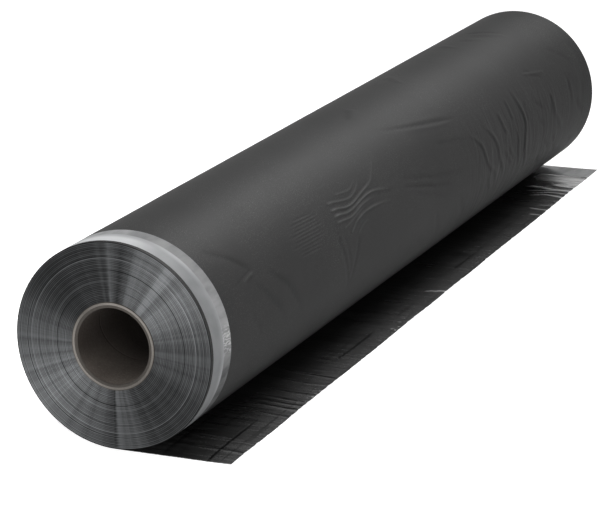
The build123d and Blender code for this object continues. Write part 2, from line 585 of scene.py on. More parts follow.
LIT_SIDE = 4.2
for points, height, width in crosswise:
    lit = [(along + LIT_SIDE, degrees) for along, degrees in points]
    round_creases.append(round_crease(lit, 0.8 * height, width))
    round_creases.append(round_crease(points, DIP * height, 2.6))
more_ridges = [
    ([(948, 88), (952, 95), (962, 103)], 0.26, 3.4),
    ([(738, 84), (752, 92), (772, 101)], 0.24, 4.0),
    ([(1060, -34), (1120, -44)], 0.24, 3.4),
]
round_creases += [round_crease(*row) for row in more_ridges]
print("creases placed by eye:", len(round_creases))

# %% [markdown]
# The back of the roll isn't in the photograph, but the part is looked at from all sides. The same kind
# of wrinkles are scattered there by a seeded draw, so each run gives the same roll.

# %% Creases on the side that the photograph doesn't show
BACK_CREASES = 60
draw = np.random.default_rng(41)
# Each crease has a place, a slant along or round the roll, a reach, a sway, a height and a width
for _ in range(BACK_CREASES):
    along = draw.uniform(90, 1130)
    degrees = draw.uniform(130, 246)
    slant = draw.choice([draw.normal(8, 6), draw.normal(75, 12)])
    reach = draw.uniform(16, 60)
    sway = draw.normal(0, 4)
    step = np.array([math.cos(math.radians(slant)), math.sin(math.radians(slant))]) * reach
    turn = np.degrees(step[1] / ROLL_RADIUS)
    middle = degrees + np.degrees(sway / ROLL_RADIUS)
    line = [(along - step[0], degrees - turn), (along, middle), (along + step[0], degrees + turn)]
    height = draw.uniform(0.12, 0.34) * draw.choice([-1, 1])
    round_creases.append(round_crease(line, height, draw.uniform(2.6, 5.0)))
print("creases on the roll in all:", len(round_creases))

# %% [markdown]
# The outer turn is the sum of all of these on top of long shallow swells. It is pressed flat where the roll
# rests on the floor, it is tight at both ends, and the strip holds it flat too. Marks say where a painted
# highlight goes, on sharp ridges, and where painted shade goes, in grooves.

# %% The height of the outer turn
CREASE_GAIN = 2.2
CREASE_MARK = "crease_mark"
FULL_MARK = 0.9
SHADE_GAIN = 2.4
SHARP_RIDGE = 2.0
NARROW_GROOVE = 4.3
DEEPEST = -0.30
REST_HALF = 4
REST_FADE = 22
TIGHT_END = 30
STRIP_FADE = 14
UNDER_STRIP = 0.10


def waves(sheet, rows):
    """Long shallow swells: each row gives height, wave length along, wave length round, and a start."""
    total = np.zeros(len(sheet))
    for height, along, across, start in rows:
        total += height * np.sin(2 * math.pi * (sheet[:, 0] / along + sheet[:, 1] / across) + start)
    return total


SWELLS = [(0.02, 310, 900, 0.4), (0.012, 170, -420, 2.1), (0.008, 83, 260, 4.0), (0.006, 47, -130, 1.2),
          (0.01, 620, 190, 3.3)]


def off_floor(degrees):
    """0 where the roll rests on the floor, and 1 away from there."""
    from_bottom = np.abs((degrees + 90 + 180) % 360 - 180)
    return np.clip((from_bottom - REST_HALF) / REST_FADE, 0, 1)


def outer_turn_marks(along, degrees):
    """Where a painted highlight goes, along sharp ridges, up to 1, and where painted shade goes, in narrow
    grooves, down to -1.
    """
    sheet = np.stack([along, arc(degrees)], 1)
    marks = np.zeros(len(sheet))
    for points, height, width, fades in round_creases:
        if height > 0 and width < SHARP_RIDGE:
            mark = height * CREASE_GAIN / FULL_MARK
            marks = np.maximum(marks, crease(sheet, points, mark, width * 0.8, **fades))
    shade = np.zeros(len(sheet))
    for points, height, width, fades in round_creases:
        if height < 0 and width < NARROW_GROOVE:
            shade = np.maximum(shade, crease(sheet, points, -height * SHADE_GAIN, width * 0.9, **fades))
    return np.clip(marks - shade, -1, 1)


def outer_turn_height(along, degrees):
    """How far the outer turn stands off its smooth round, in millimetres, at each point."""
    sheet = np.stack([along, arc(degrees)], 1)
    total = waves(sheet, SWELLS)
    for points, height, width, fades in round_creases:
        total += crease(sheet, points, height, width, **fades)
    total = np.maximum(total, DEEPEST)
    tight = np.clip(np.minimum(along - 2, FILM_WIDTH - along) / TIGHT_END, 0, 1)
    past_strip = np.clip((along - STRIP_END) / STRIP_FADE, 0.0, 1)
    held = UNDER_STRIP + (1 - UNDER_STRIP) * past_strip
    return CREASE_GAIN * total * off_floor(degrees) * tight * held


print("swells of the outer turn:", len(SWELLS))

# %% [markdown]
# The loose end lies flat on the floor, but film that was wound keeps a memory: its free edge lifts a
# little in places, and small folds run in from it. Both faces of the sheet follow the same lift, so it
# keeps its thickness. The places are in millimetres from the near edge and outward from the line
# under the roll's axis.

# %% Creases and folds of the loose end
old_creases = [
    ([(0, 98), (10, 96), (30, 95), (60, 94.5), (105, 94), (142, 93)], 1.0),
    ([(2, 51), (10, 48.5), (22, 47), (60, 46.5), (120, 47), (185, 48)], 0.7),
    ([(335, 95), (390, 96), (445, 95)], 0.7),
    ([(560, 72), (610, 74), (660, 73)], 0.6),
    ([(695, 94), (760, 95), (825, 94)], 0.7),
    ([(1158, 114), (1157, 92), (1155, 74), (1150, 55)], 0.9),
]
CREASE_LINE = 1.25
loose_creases = [(points, -0.35 * depth, CREASE_LINE) for points, depth in old_creases]
bright_folds = [
    ([(1038, 124), (1047, 104), (1052, 90), (1047, 78), (1041, 64)], 1.10, 3.0),
    ([(1057, 124), (1063, 104), (1065, 92), (1059, 78), (1051, 62)], 1.00, 2.8),
    ([(1072, 124), (1076, 104), (1079, 86), (1086, 62), (1084, 46)], 1.30, 3.6),
    ([(1076, 96), (1070, 78), (1063, 55)], 0.90, 3.2),
    ([(1094, 124), (1095, 108), (1097, 94), (1105, 78)], 1.00, 3.4),
    ([(602, 124), (600, 108), (596, 92)], 1.20, 1.8),
    ([(952, 124), (955, 110), (957, 96)], 0.90, 2.6),
    ([(978, 124), (980, 108), (985, 86)], 0.90, 3.0),
    ([(1000, 124), (1001, 106), (1000, 92)], 0.80, 2.6),
]
white_patches = [
    ([(1118, 130), (1116, 104), (1124, 84), (1134, 58), (1144, 42)], 0.80, 11.0),
    ([(1140, 130), (1140, 90), (1146, 62), (1150, 44)], 0.80, 12.0),
]
loose_creases += bright_folds
edge_folds = [(32, 0.30), (62, 0.55), (88, 0.35), (118, 0.30), (147, 0.60), (167, 0.45), (178, 0.30),
              (190, 0.35), (212, 0.60), (228, 0.45), (247, 0.60), (262, 0.40), (273, 0.40), (310, 0.35),
              (340, 0.50), (355, 0.40), (388, 0.35), (420, 0.30), (450, 0.40), (480, 0.55), (502, 0.50),
              (535, 0.35), (560, 0.35), (602, 0.40), (632, 0.35), (655, 0.55), (700, 0.40), (745, 0.55),
              (780, 0.40), (800, 0.50), (840, 0.40), (880, 0.45), (915, 0.35), (940, 0.40), (1018, 0.40),
              (1030, 0.45), (1120, 0.30), (1157, 0.40)]
FOLD_START = 124
fold_draw = np.random.default_rng(17)
for place, height in edge_folds:
    inner = fold_draw.uniform(36, 92)
    slant = fold_draw.normal(0, 7)
    middle = (FOLD_START + inner) / 2 + 8
    line = [(place, FOLD_START), (place + slant / 2, middle), (place + slant, inner)]
    width = fold_draw.uniform(2.2, 4.2)
    loose_creases.append((line, height * 1.3, width))
    before = [(along - 1.6 * width, out) for along, out in line]
    loose_creases.append((before, -0.5 * height, 0.6 * width))
print("creases on the loose end:", len(loose_creases))

# %% [markdown]
# The largest folds and two broad patches are marked white, partly as whitened film and partly as painted
# reflection, and the old creases are marked dark as painted shade. Where folds meet they don't pile up: the
# highest one counts.

# %% The lift of the loose end
PALE_FOLD_HEIGHT = 0.8
MARK_GAIN = 2.5
CURL = 0.5
RIPPLE = 0.06


def loose_marks(along, out):
    """Pale marks along the folds, partly whitened film and partly painted reflection, and painted shade
    along the old creases.
    """
    sheet = np.stack([along, out], 1)
    marks = np.zeros(len(sheet))
    for points, height, width in loose_creases:
        if height >= PALE_FOLD_HEIGHT:
            marks = np.maximum(marks, crease(sheet, points, height, width * 0.8, starts=0.02, ends=0.35))
    for points, height, width in white_patches:
        marks = np.maximum(marks, crease(sheet, points, height, width, starts=0.02, ends=0.3))
    for points, height, width in loose_creases:
        if height < 0 and width <= CREASE_LINE:
            dark = min(1.0, -MARK_GAIN * height)
            marks -= crease(sheet, points, dark, width, starts=0.05, ends=0.4)
    return np.clip(marks, -1, 1)


def loose_lift(along, out):
    """How far the loose end stands off the floor, in millimetres."""
    sheet = np.stack([along, out], 1)
    total = np.zeros(len(sheet))
    for points, height, width in loose_creases:
        if height > 0:
            total = np.maximum(total, crease(sheet, points, height, width, starts=0.02, ends=0.5))
    for points, height, width in loose_creases:
        if height < 0:
            total += crease(sheet, points, height, width, starts=0.02, ends=0.5)
    # The free edge curls up in uneven waves
    edge = np.clip((out - 80) / 40, 0, 1) ** 2
    total += edge * CURL * (1 + np.sin(along / 31.0 + 1.7 * np.sin(along / 97.0)))
    # Small ripples start further in
    total += RIPPLE * (1 + np.sin(along / 13.0 + out / 9.0)) * np.clip((out - 30) / 30, 0, 1)
    # Near the nip the roll's weight holds the sheet down
    return total * np.clip((out - 8) / 25, 0, 1)


print("lift helpers ready")

# %% [markdown]
# ## The lines of the grid
#
# Each list gives where a stretch ends and how far apart its lines are. Lines along the roll stand
# closest at the edges of the strips and in the crumpled places. Lines round the roll stand closest
# where the bundle of ridges is.

# %% Where the grid's lines stand
STEP_OFF = 0.1
UNDER_AXIS = 270.0
along_lines = spaced(0.0, (STRIP_START - STEP_OFF, 5.0), (STRIP_START, 1.0), (28, 4.0), (STRIP_END, 3.5),
                     (STRIP_END + STEP_OFF, 1.0), (84, 5.5), (130, 3.6), (330, 6.0), (500, 3.4),
                     (590, 6.0), (614, 2.2), (735, 6.0), (945, 3.0), (1034, 3.6), (1092, 2.4),
                     (FAR_STRIP_START - STEP_OFF, 4.2), (FAR_STRIP_START, 1.0), (FAR_STRIP_END, 5.0),
                     (FAR_STRIP_END + STEP_OFF, 1.0), (FILM_WIDTH, 5.0))
round_lines = spaced(-90.0, (-78, 3.0), (-50, 2.6), (-22, 1.7), (12, 1.4), (43, 0.5), (66, 1.25),
                     (125, 2.4), (262, 4.0), (UNDER_AXIS, 2.7))
out_lines = spaced(0.0, (36, 6.0), (44, 4.0), (51, 1.2), (91, 4.4), (99, 1.0), (116, 3.0), (LOOSE_NEAR, 2.0))
out_lines = out_lines / LOOSE_NEAR
print("lines along, round and out:", len(along_lines), len(round_lines), len(out_lines))

# %% [markdown]
# A place on the film is given along the roll and either round it, in degrees, or out along the floor.
# These helpers turn tables of such places into points.


# %% Helpers for places on the film
def loose_length(along):
    """How far the loose end reaches at this place, because its cut isn't square."""
    return LOOSE_NEAR + (LOOSE_FAR - LOOSE_NEAR) * along / FILM_WIDTH


def turn_radius(degrees):
    """The outer turn's radius: each turn lies one thickness further out than the turn before."""
    return ROLL_RADIUS - FILM_THICKNESS * (UNDER_AXIS - degrees) / 360.0


def seat(along, start, end):
    """1 where a strip is let into the sheet and 0 elsewhere."""
    return ((along >= start) & (along <= end)).astype(float)


def on_roll(along, degrees, raised):
    """Points on the roll for tables of places along and round, and of height."""
    radius = turn_radius(degrees) + raised
    angle = np.radians(degrees)
    return np.stack([radius * np.cos(angle), NEAR_END + along, radius * np.sin(angle)], -1)


def on_floor(along, out, raised):
    """Points over the floor for tables of places along and out, and of height."""
    return np.stack([out, NEAR_END + along, raised - ROLL_RADIUS], -1)


def over(height_at, first, second):
    """Works out a height or a mark at every place of two tables, as a table."""
    return height_at(first.ravel(), second.ravel()).reshape(first.shape)


print("helpers for places ready")

# %% [markdown]
# ## The wound ends
#
# Each end shows the edges of all the turns. They don't line up perfectly: groups of turns stand a
# fraction of a millimetre in or out. Here each group is a flat band with a sharp step to the next one,
# as in the CAD model, and its offset changes slowly round the roll.

# %% The relief of the ends
BANDS = 15
BAND_WANDER = 0.45
BAND_TURN_ANGLE = 2.4
BAND_SWAY = 0.08
STEP_ACROSS = 0.03
band_draw = np.random.default_rng(5)
band_height = (ROLL_RADIUS - CORE_OUTER) / BANDS
band_shifts = BAND_WANDER * np.sin(BAND_TURN_ANGLE * (BANDS - 1 - np.arange(BANDS)))
band_sways = band_draw.uniform(-BAND_SWAY, BAND_SWAY, BANDS)
band_sways[-1] = 0.0
band_phases = band_draw.uniform(0, 2 * math.pi, BANDS)
ring_radii = []
for band in range(BANDS):
    inside = CORE_OUTER + band * band_height
    ring_radii += [inside + STEP_ACROSS * (band > 0), inside + band_height - STEP_ACROSS]
ring_radii = ring_radii[:-1]
RINGS = len(ring_radii)


def ring_shift(ring, degrees):
    """How far one ring of turns has wandered along the axis, in millimetres, at each angle."""
    band = ring // 2
    swing = 0.5 + 0.5 * np.cos(np.radians(degrees) + band_phases[band])
    return band_shifts[band] + band_sways[band] * swing


print("rings on each end:", RINGS)

# %% [markdown]
# ## The wound film
#
# The whole sheet is one closed mesh, as the sheet is one piece. Its outline goes along the top of the
# loose end into the nip, once round the roll, and back along the underside of the loose end. The
# outline is repeated at each line along the roll, and the two ends are closed with rings down to the
# core. A cloth simulation would also wrinkle a sheet, but it couldn't put the folds where they are.

# %% The outline at every line along the roll
# Out from here the sheet is clear of the roll, and the far strip's seat starts
NIP = 15.0
steps = len(along_lines)
along_table, out_table = np.meshgrid(along_lines, out_lines, indexing="ij")
out_table = out_table * loose_length(along_table)
lift_table = over(loose_lift, along_table, out_table)
far_seat = seat(along_table, FAR_STRIP_START, FAR_STRIP_END) * STRIP_THICKNESS * (out_table > NIP)
near_seat = seat(along_table, STRIP_START, STRIP_END) * STRIP_THICKNESS
top_side = on_floor(along_table, out_table, lift_table + FILM_THICKNESS - far_seat)[:, ::-1]
under_side = on_floor(along_table, out_table, lift_table + near_seat)
along_round, degrees_round = np.meshgrid(along_lines, round_lines, indexing="ij")
raised = over(outer_turn_height, along_round, degrees_round)
round_seat = seat(along_round, STRIP_START, STRIP_END) * STRIP_THICKNESS
round_side = on_roll(along_round, degrees_round, raised - round_seat)
outline = np.concatenate([top_side, round_side[:, 1:-1], under_side], 1)
TOP = top_side.shape[1]
ROUND = round_side.shape[1] - 2
around = outline.shape[1]
print("points in each outline:", around)
top_marks = over(loose_marks, along_table, out_table)[:, ::-1]
round_marks = over(outer_turn_marks, along_round, degrees_round)
outline_marks = np.concatenate([top_marks, round_marks[:, 1:-1], np.zeros(top_side.shape[:2])], 1)
print("highest crease on the roll, mm:", round(float(raised.max()), 2))

# %% [markdown]
# The faces get one of three finishes: the outer face, the inner face on top of the loose end, and the
# edges of the turns. Rings of points close each end down to the bore, and the bore joins the ends.

# %% The faces of the film
OUTER, INNER, TURN_EDGES = 0, 1, 2
points = [outline.reshape(-1, 3)]
numbers = np.arange(steps * around).reshape(steps, around)
faces = grid_faces(numbers, closed=True)
kinds = np.tile(np.where(np.arange(around) < TOP - 1, INNER, OUTER), steps - 1).tolist()
count = steps * around
first_round = TOP - 1
last_round = TOP + ROUND
bore_rows = []
for end, row in ((NEAR_END, numbers[0]), (-NEAR_END, numbers[-1])):
    rim = row[first_round:last_round + 1]
    inner_degrees = round_lines[:-1]
    rings = []
    for ring in range(RINGS):
        angle = np.radians(inner_degrees)
        y = end + ring_shift(ring, inner_degrees)
        radius = ring_radii[ring]
        points.append(np.stack([radius * np.cos(angle), y, radius * np.sin(angle)], -1))
        rings.append(np.arange(count, count + len(angle)))
        count += len(angle)
    rings = np.array(rings)
    bore_rows.append(rings[0])
    inner_faces = grid_faces(rings, closed=True)
    last = rings[-1]
    rim_faces = [[last[i], rim[i], rim[i + 1], last[i + 1]] for i in range(len(inner_degrees) - 1)]
    rim_faces.append([last[-1], rim[-2], rim[-1], rim[0], last[0]])
    back = row[::-1]
    tail_faces = [[row[i], row[i + 1], back[i + 1], back[i]] for i in range(TOP - 1)]
    end_faces = inner_faces + rim_faces + tail_faces
    if end > 0:
        end_faces = [face[::-1] for face in end_faces]
    faces += [[int(n) for n in face] for face in end_faces]
    kinds += [TURN_EDGES] * len(end_faces)
bore_faces = grid_faces(np.array(bore_rows), closed=True)
faces += [face[::-1] for face in bore_faces]
kinds += [OUTER] * len(bore_faces)
film_points = np.concatenate(points)
film_marks = np.zeros(len(film_points))
film_marks[:outline_marks.size] = outline_marks.ravel()
print("faces of the film:", len(faces))

# %% [markdown]
# ## Finishes that several materials share
#
# Four small groups make the marks that come back in more than one finish. Haze is a soft unevenness
# of tone. Dust is fine pale specks that gather in patches. Turn edges are the rings that layers wound
# round the axis leave on an end, and they serve both the film and the cardboard. Fine crinkle is the
# small buckling that is too fine for the mesh.


# %% A group that is being made
class Group(Bench):
    """A node group with named inputs, given with their starting values, and named outputs."""

    def __init__(self, name, takes, gives):
        super().__init__(bpy.data.node_groups.new(name, "ShaderNodeTree"))
        sockets = self.tree.interface
        for label, value in takes.items():
            socket = sockets.new_socket(label, in_out="INPUT", socket_type="NodeSocketFloat")
            socket.default_value = value
        for label in gives:
            sockets.new_socket(label, in_out="OUTPUT", socket_type="NodeSocketFloat")
        self.takes = self.tree.nodes.new("NodeGroupInput").outputs
        self.gives = self.tree.nodes.new("NodeGroupOutput").inputs
        print("group started:", name)

    def give(self, label, value):
        self.feed(self.gives[label], value)

    def stretched(self):
        """Places drawn out along the roll by the group's own Stretch."""
        across, along, up = self.split(self.place())
        return self.join(across, self.times(along, self.takes["Stretch"]), up)


# %% Haze
haze = Group("haze", {"Scale": 12.0, "Stretch": 1.0}, ["Mask"])
cloud = haze.noise(haze.stretched(), haze.takes["Scale"], 3.0)
haze.give("Mask", haze.remap(cloud, 0.3, 0.7, smooth=True))

# %% Dust
dust = Group("dust", {"Amount": 0.3, "Fineness": 900.0}, ["Mask"])
place = dust.place()
specks = dust.remap(dust.noise(place, dust.takes["Fineness"], 2.0), 0.56, 0.74)
patches = dust.remap(dust.noise(place, 9.0, 4.0), 0.42, 0.66, 0.15, 1.0)
dust.give("Mask", dust.times(dust.times(specks, patches), dust.takes["Amount"]))

# %% Turn edges
TURN_SWAY = 0.0008
turn_edges = Group("turn_edges", {"Pitch": 0.0008, "Ring": 0.088, "Streaks": 1.0},
                   ["Height", "Lines", "Ring", "Streaks"])
across, along, up = turn_edges.split(turn_edges.place())
flat_place = turn_edges.join(across, 0.0, up)
radius = turn_edges.radius(across, up)
sway = turn_edges.times(turn_edges.noise(flat_place, 14.0, 2.0), TURN_SWAY)
turns = turn_edges.step("DIVIDE", turn_edges.plus(radius, sway), turn_edges.takes["Pitch"])
wave = turn_edges.remap(turn_edges.step("SINE", turn_edges.times(turns, 2 * math.pi)), -1.0, 1.0)
coarse = turn_edges.put("TexNoise", {"W": turns, "Scale": 0.6, "Detail": 2.0}, noise_dimensions="1D")
coarse = coarse.outputs["Fac"]
turn_edges.give("Height", turn_edges.plus(turn_edges.times(coarse, 0.6), wave))
turn_edges.give("Lines", turn_edges.times(wave, turn_edges.remap(coarse, 0.32, 0.68, 0.35, 1.0)))
off_ring = turn_edges.step("ABSOLUTE", turn_edges.minus(radius, turn_edges.takes["Ring"]))
turn_edges.give("Ring", turn_edges.remap(off_ring, 0.0002, 0.0006, 1.0, 0.0))
outward = turn_edges.put("VectorMath", {0: flat_place}, operation="NORMALIZE").outputs[0]
spokes = turn_edges.remap(turn_edges.noise(outward, 7.0, 6.0, Roughness=0.62), 0.38, 0.62)
turn_edges.give("Streaks", turn_edges.times(spokes, turn_edges.takes["Streaks"]))

# %% Fine crinkle
fine_crinkle = Group("fine_crinkle", {"Scale": 60.0, "Stretch": 0.5, "Sharpness": 0.5}, ["Height"])
sharpness = fine_crinkle.takes["Sharpness"]
ripple = fine_crinkle.noise(fine_crinkle.stretched(), fine_crinkle.takes["Scale"], 3.0, Distortion=0.6)
fold = fine_crinkle.step("ABSOLUTE", fine_crinkle.minus(ripple, 0.5))
soft = fine_crinkle.times(ripple, fine_crinkle.minus(1.0, sharpness))
fine_crinkle.give("Height", fine_crinkle.minus(soft, fine_crinkle.times(fold, sharpness)))

# %% [markdown]
# ## The film's finishes
#
# The outer face is satin: it was cast on a matt roller, so it is dark grey and spreads the light. Its sharp
# ridges get a painted highlight, its grooves painted shade, and low on its far half faint folds run round it
# that are too shallow for the mesh.

# %% The outer face
OUTER_LEVEL = 0.028
RIDGE_HIGHLIGHT, SHADED, DUST_COLOUR = grey(0.12), grey(0.004), grey(0.20, 0.01)
paint = Paint("film_outer_face")
place = paint.place()
across, along, up = paint.split(place)
angle = paint.angle(across, up)
cloud = paint.use(haze, Scale=7.0, Stretch=0.6)["Mask"]
grime = paint.use(dust, Amount=0.35, Fineness=1100.0)["Mask"]
mark = paint.put("Attribute", attribute_name=CREASE_MARK).outputs["Fac"]
tone = paint.blend(cloud, grey(OUTER_LEVEL * 0.97), grey(OUTER_LEVEL * 1.03))
# Painted highlight on sharp ridges and painted shade in grooves, carried by the crease marks
tone = paint.tint(tone, RIDGE_HIGHLIGHT, mark, 0.0, 1.0, 0.0, 0.34)
tone = paint.tint(tone, SHADED, mark, -1.0, 0.0, 0.60, 0.0)
tone = paint.tint(tone, DUST_COLOUR, grime)
rough = paint.remap(paint.use(haze, Scale=22.0, Stretch=0.8)["Mask"], 0, 1, 0.56, 0.58)
ripple = paint.use(fine_crinkle, Scale=34.0, Stretch=0.6, Sharpness=0.25)["Height"]
wrinkles = paint.use(fine_crinkle, Scale=105.0, Stretch=0.30, Sharpness=0.7)["Height"]
folds = paint.drawn_out(angle, 2.2, along, 78.0, 3.0, Distortion=0.7)
far_half = paint.times(paint.remap(along, 0.08, 0.20, smooth=True),
                       paint.remap(along, 0.34, 0.56, 1.0, 0.25, smooth=True))
low_half = paint.remap(angle, 0.35, 0.75, 1.0, 0.12, smooth=True)
relief = paint.bump(paint.times(folds, paint.times(low_half, far_half)), 0.45, 0.0024)
relief = paint.bump(ripple, 0.10, 0.0012, relief)
relief = paint.bump(wrinkles, 0.22, 0.0008, relief)
outer_face = paint.finish({
    "Base Color": tone,
    "Roughness": paint.plus(rough, paint.times(grime, 0.2)),
    "Specular IOR Level": 0.025,
    "Normal": paint.bump(paint.noise(place, 900.0, 2.0), 0.12, 0.0004, relief),
})

# %% [markdown]
# The inner face shows on the loose end. It is glossy and nearly black, with fine pull lines that run out to
# the cut edge and also stand in, as painted light and shade, for small folds, dark lines along it from the
# winding, and old creases near the near edge. Painted shade makes it darkest in the nip under the roll, and
# painted light makes it paler towards the cut edge. Folded places are painted white, partly as whitened film
# and partly as painted reflection, and painted glints speck the cut edge. The creases across it are too
# narrow for the mesh, so a ramp gives their places, as a dark line of painted shade, a pale line of painted
# highlight beside it and a dent.

# %% The inner face
INNER_LEVEL = 0.050
INK = grey(0.003)
CUT_SLOPE = (LOOSE_NEAR - LOOSE_FAR) / FILM_WIDTH
CROSS_REACH = 330.0
CROSS_WIDTH = 2.6
CROSS_PALE_BESIDE = 3.2
CROSS_SLANT = 0.12
CROSS_CREASES = [(32, 0.75), (60, 0.40), (144, 0.55), (165, 0.95), (177, 0.95), (190, 0.95), (212, 0.70),
                 (246, 0.60), (271, 0.90)]
cross_levels = [(0, 0)]
for middle, level in CROSS_CREASES:
    cross_levels += [(middle - CROSS_WIDTH, 0), (middle, level), (middle + CROSS_WIDTH, 0)]
cross_levels.append((CROSS_REACH, 0))
paint = Paint("film_inner_face")
place = paint.place()
across, along, up = paint.split(place)
from_near = paint.minus(along, NEAR_END * MM)
out = paint.plus(across, paint.times(from_near, CUT_SLOPE))
cloud = paint.use(haze, Scale=14.0, Stretch=1.0)["Mask"]
grime = paint.use(dust, Amount=0.4, Fineness=900.0)["Mask"]
pull_and_shade_lines = paint.drawn_out(across, 9.0, along, 120.0, 3.0)
pulled_and_shaded = paint.remap(pull_and_shade_lines, 0.36, 0.60)
# Pull lines, which also stand in as painted light and shade for small folds, a fine crackle and dust
tone = paint.blend(pulled_and_shaded, grey(INNER_LEVEL * 0.38), grey(INNER_LEVEL * 1.30))
tone = paint.tint(tone, grey(INNER_LEVEL * 0.5), paint.noise(place, 330.0, 3.0), 0.38, 0.66, 0.0, 0.6)
tone = paint.tint(tone, DUST_COLOUR, grime)
# Painted shade darkens it towards the nip, and painted light makes it paler towards the cut edge
tone = paint.tint(tone, grey(0.002), out, 0.035, 0.085, 0.35, 0.0)
tone = paint.tint(tone, grey(0.16), out, 0.085, 0.122, 0.0, 0.30)
# Dark lines along the roll, and finer ones that run out from it
tone = paint.tint(tone, INK, paint.drawn_out(across, 170.0, along, 5.0, 2.0), 0.30, 0.42, 0.5, 0.0)
tone = paint.tint(tone, INK, paint.drawn_out(across, 30.0, along, 420.0, 2.0), 0.36, 0.60, 0.40, 0.0)
# The old creases across the sheet, slanting and wandering a little
wander = paint.remap(paint.noise(place, 22.0, 1.0), 0.3, 0.7, -0.0162, -0.0130)
crossing = paint.plus(paint.plus(from_near, paint.times(out, CROSS_SLANT)), wander)
cross_share = paint.step("DIVIDE", crossing, CROSS_REACH * MM)
in_reach = paint.times(paint.remap(out, 0.052, 0.095, smooth=True),
                       paint.step("LESS_THAN", cross_share, 1.0))
cross_dark = paint.times(paint.levels(cross_share, cross_levels, CROSS_REACH), in_reach)
beside = paint.plus(cross_share, CROSS_PALE_BESIDE / CROSS_REACH)
cross_pale = paint.times(paint.levels(beside, cross_levels, CROSS_REACH), in_reach)
# The pale line beside each crease is a painted highlight and the dark line is painted shade
tone = paint.tint(tone, grey(0.18), paint.times(cross_pale, 0.45))
tone = paint.tint(tone, INK, cross_dark)
# Painted glints at the cut edge, white on sharp folds that is partly whitened film and partly painted
# reflection, and painted shade in the modelled creases
mark = paint.put("Attribute", attribute_name=CREASE_MARK).outputs["Fac"]
painted_edge_glints = paint.times(paint.remap(out, 0.106, 0.121, smooth=True),
                      paint.remap(paint.noise(place, 210.0, 4.0), 0.60, 0.72))
painted_edge_glints = paint.times(painted_edge_glints, paint.remap(cloud, 0.45, 0.9, 0.08, 0.75))
tone = paint.tint(tone, grey(0.55), paint.step("MAXIMUM", painted_edge_glints, paint.remap(mark, 0.25, 1.0, 0.0, 0.85)))
tone = paint.tint(tone, INK, mark, -0.55, -0.08, 0.95, 0.0)
ripple = paint.use(fine_crinkle, Scale=140.0, Stretch=1.2, Sharpness=0.6)["Height"]
rough = paint.remap(cloud, 0, 1, 0.14, 0.22)
relief = paint.bump(paint.minus(1.0, cross_dark), 1.0, 0.0032)
relief = paint.bump(pull_and_shade_lines, 0.5, 0.0014, relief)
inner_face = paint.finish({
    "Base Color": tone,
    "Roughness": paint.plus(rough, paint.remap(pull_and_shade_lines, 0.36, 0.50, 0.08, 0.0)),
    "Specular IOR Level": 0.5,
    "Normal": paint.bump(ripple, 0.5, 0.0008, relief),
})

# %% [markdown]
# The cut edges of the turns, seen on the ends, act together like brushed metal: fine grooves that run round
# the axis throw the light out in a bright wedge. Where the turns were pressed together in winding the end is
# smoother and lighter, and where they are loose it is darker, and the same levels also paint part of the
# bright wedge into the colour as painted highlight and painted shade. PRESSED_AND_LIT says by angle, in
# degrees, both how tight the turns are and that painted light, and STREAKS where narrow light and dark
# streaks run outward.

# %% The edges of the turns
EDGE_DARK = 0.078
EDGE_LIGHT = 0.127
TURN_PITCH = 0.0016
RING_RADII = (0.0878, 0.0645)
PRESSED_AND_LIT = [(0, 0.65), (30, 0.55), (45, 0.65), (60, 0.95), (78, 0.65), (92, 0.75), (106, 0.35), (135, 0.15),
           (150, 0.35), (167, 0.75), (195, 0.9), (210, 0.65), (262, 0.55), (282, 0.95), (297, 0.4),
           (315, 0.35), (345, 0.55), (360, 0.65)]
STREAKS = [(0, 0.7), (6, 0.7), (9, 0.5), (12, 0.7), (32, 0.65), (38, 0.85), (43, 0.6), (54, 0.8), (60, 0.65),
           (73, 0.8), (79, 0.55), (83, 0.2), (88, 0.85), (91, 0.8), (95, 0.25), (98, 0.85), (102, 0.35),
           (110, 0.75), (200, 0.7), (222, 0.8), (228, 0.6), (262, 0.7), (268, 0.6), (270, 0.15), (272, 0.8),
           (276, 0.7), (286, 0.8), (360, 0.7)]
STREAK_MIDDLE = 0.70
paint = Paint("film_turn_edges")
place = paint.place()
across, along, up = paint.split(place)
radius = paint.radius(across, up)
share = paint.turn_share(across, up)
turns = paint.use(turn_edges, Pitch=TURN_PITCH, Ring=RING_RADII[0], Streaks=1.0)
inner_ring = paint.use(turn_edges, Pitch=TURN_PITCH, Ring=RING_RADII[1], Streaks=1.0)["Ring"]
streaks = paint.step("DIVIDE", paint.levels(share, STREAKS), STREAK_MIDDLE)
streaks = paint.times(streaks, paint.plus(paint.times(turns["Streaks"], 0.56), 0.72))
near_core = paint.remap(radius, 0.044, 0.104, 1.20, 0.70)
streaks = paint.plus(paint.times(paint.minus(streaks, 1.0), near_core), 1.0)
# Where the levels are low, from loose winding and from painted shade beside the wedge, the dark turns darken
# sooner than the light ones
sectors = paint.step("MULTIPLY", paint.levels(share, PRESSED_AND_LIT), streaks, clamp=True)
low_turns = paint.blend(paint.times(sectors, sectors), grey(EDGE_DARK * 0.03, -0.03), grey(EDGE_DARK, -0.03))
high_turns = paint.blend(sectors, grey(EDGE_LIGHT * 0.42, -0.03), grey(EDGE_LIGHT, -0.03))
tone = paint.blend(turns["Lines"], low_turns, high_turns)
# Two pale rings, and a dark line at the roll's rim
tone = paint.tint(tone, grey(0.20, -0.03), paint.times(turns["Ring"], 0.55))
tone = paint.tint(tone, grey(0.18, -0.03), paint.times(inner_ring, 0.30))
tone = paint.tint(tone, grey(0.002), radius, 0.1026, 0.1032, 0.0, 0.9)
